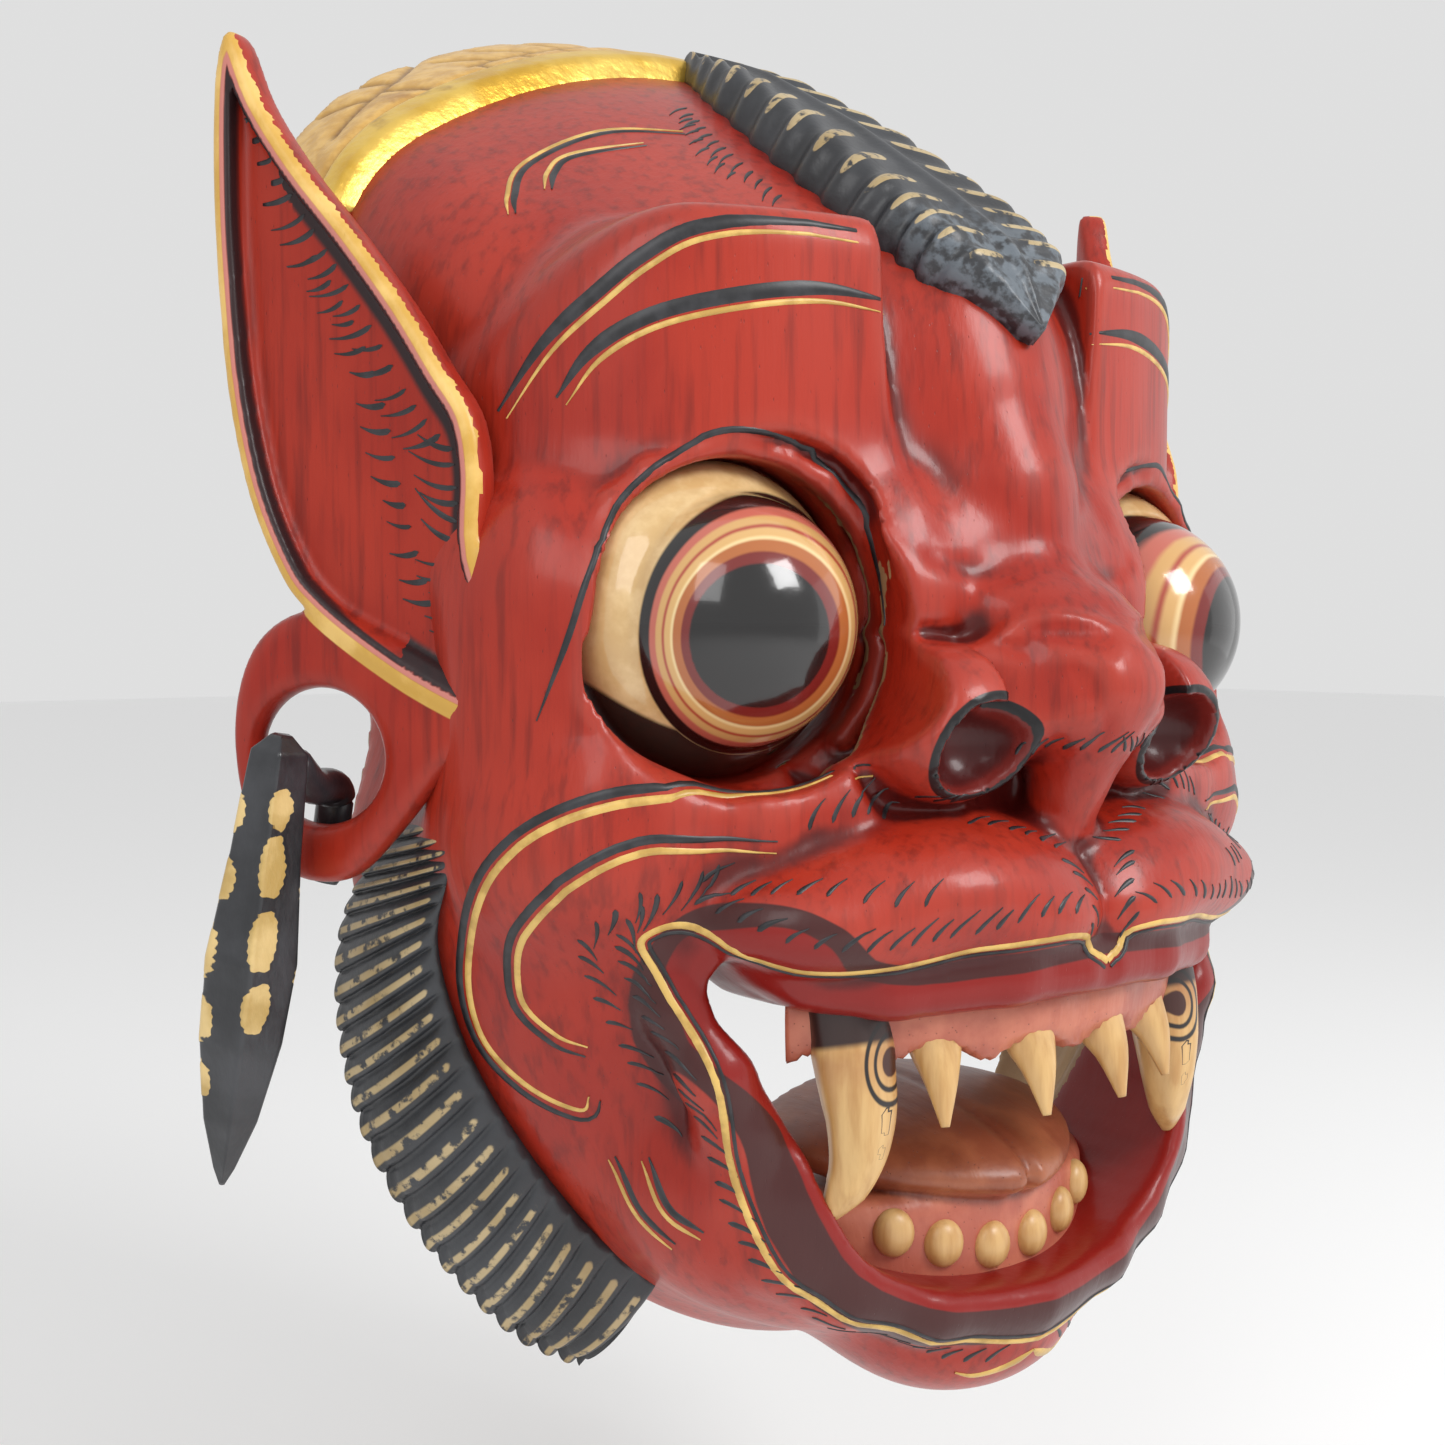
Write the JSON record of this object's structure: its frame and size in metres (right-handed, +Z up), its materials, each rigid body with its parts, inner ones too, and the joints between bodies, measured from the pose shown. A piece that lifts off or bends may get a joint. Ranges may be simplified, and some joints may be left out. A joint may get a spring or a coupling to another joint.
{
  "type": "carved wooden mask",
  "caption": "Carved, painted wooden demon mask for a wall: bulging eyes, fangs, pointed ears with pierced lobes, gold headband and two hooked earrings that swing.",
  "frame": {"origin": "mouth of the hanging hole, in the flat sawn back behind the crown", "axes": "+Z up the face as it is displayed, -Y the way the face looks, x = 0 the midline; the sawn back leans 15.6 degrees from vertical with the chin forward"},
  "size_m": [0.2806, 0.1758, 0.3035],
  "materials": {
    "red_lacquer": "satin red lacquer over carved wood, with painted lines",
    "gold_leaf": "bronze-gold paint over carved wood, worn",
    "black_paint": "black paint with dry-brushed gold on the ridges",
    "eye_paint": "painted rings under gloss lacquer",
    "tooth_paint": "cream paint with brown wash",
    "gum_paint": "pink-brown wash over wood",
    "earring_paint": "black paint with gold leaf shapes",
    "raw_wood": "bare light wood"
  },
  "bodies": {
    "mask": {"face_shell": "red_lacquer", "headband": "gold_leaf", "forelock": "black_paint", "whisker_fringe_right": "black_paint", "whisker_fringe_left": "black_paint", "ear_right": "red_lacquer", "ear_left": "red_lacquer", "ear_dowels_right": "raw_wood", "ear_dowels_left": "raw_wood", "eye_right": "eye_paint", "eye_left": "eye_paint", "upper_gum": "gum_paint", "fang_right": "tooth_paint", "fang_left": "tooth_paint", "upper_tooth_1": "tooth_paint", "upper_tooth_2": "tooth_paint", "upper_tooth_3": "tooth_paint", "upper_tooth_4": "tooth_paint", "tongue": "gum_paint", "lower_tooth_1": "tooth_paint", "lower_tooth_2": "tooth_paint", "lower_tooth_3": "tooth_paint", "lower_tooth_4": "tooth_paint", "lower_tooth_5": "tooth_paint", "lower_tooth_6": "tooth_paint", "hanger_block": "raw_wood"},
    "earring_right": {"earring_right": "earring_paint"},
    "earring_left": {"earring_left": "earring_paint"}
  },
  "joints": [
    {"name": "earring_right_swing", "type": "hinge", "parent": "mask", "child": "earring_right", "pos_m": [-0.1203, -0.05977, -0.135], "axis": [-0.8746, -0.4848, 0], "range_deg": [-20, 10]},
    {"name": "earring_left_swing", "type": "hinge", "parent": "mask", "child": "earring_left", "pos_m": [0.1203, -0.05977, -0.135], "axis": [-0.8746, 0.4848, 0], "range_deg": [-20, 10]}
  ]
}
